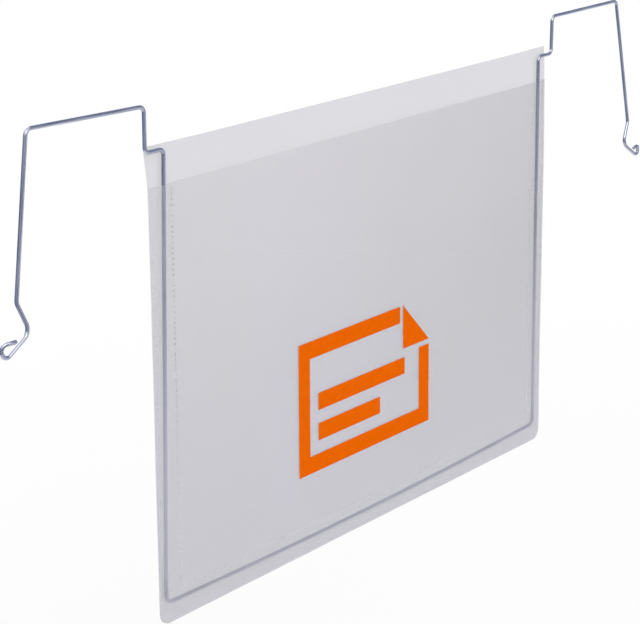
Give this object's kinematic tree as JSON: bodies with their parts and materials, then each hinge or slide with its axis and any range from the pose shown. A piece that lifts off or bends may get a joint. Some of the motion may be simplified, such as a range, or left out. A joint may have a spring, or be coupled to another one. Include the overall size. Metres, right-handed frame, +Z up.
{
  "type": "hanging document pocket",
  "caption": "Landscape document pocket of clear welded foil, hung by one bent wire that runs in a channel round its edge and ends in an open hook at each side.",
  "frame": {"origin": "midway between the two hooks, on the underside of their arms, in the plane of the wire", "axes": "+X across the pocket to the right as seen from the front, +Y back towards the wall or rail, +Z up"},
  "size_m": [0.384, 0.0068, 0.1789],
  "materials": {
    "clear_foil": "soft clear foil with a faint grey haze, smooth with fine handling marks",
    "zinc_wire": "bright drawn and zinc-plated spring wire",
    "orange_print": "flat opaque orange screen print on the front foil"
  },
  "bodies": {
    "root": {"back_sheet": "clear_foil", "front_sheet_window": "clear_foil", "front_sheet_left_channel": "clear_foil", "front_sheet_right_channel": "clear_foil", "front_sheet_bottom_channel": "clear_foil", "wire_hanger": "zinc_wire"}
  },
  "joints": []
}
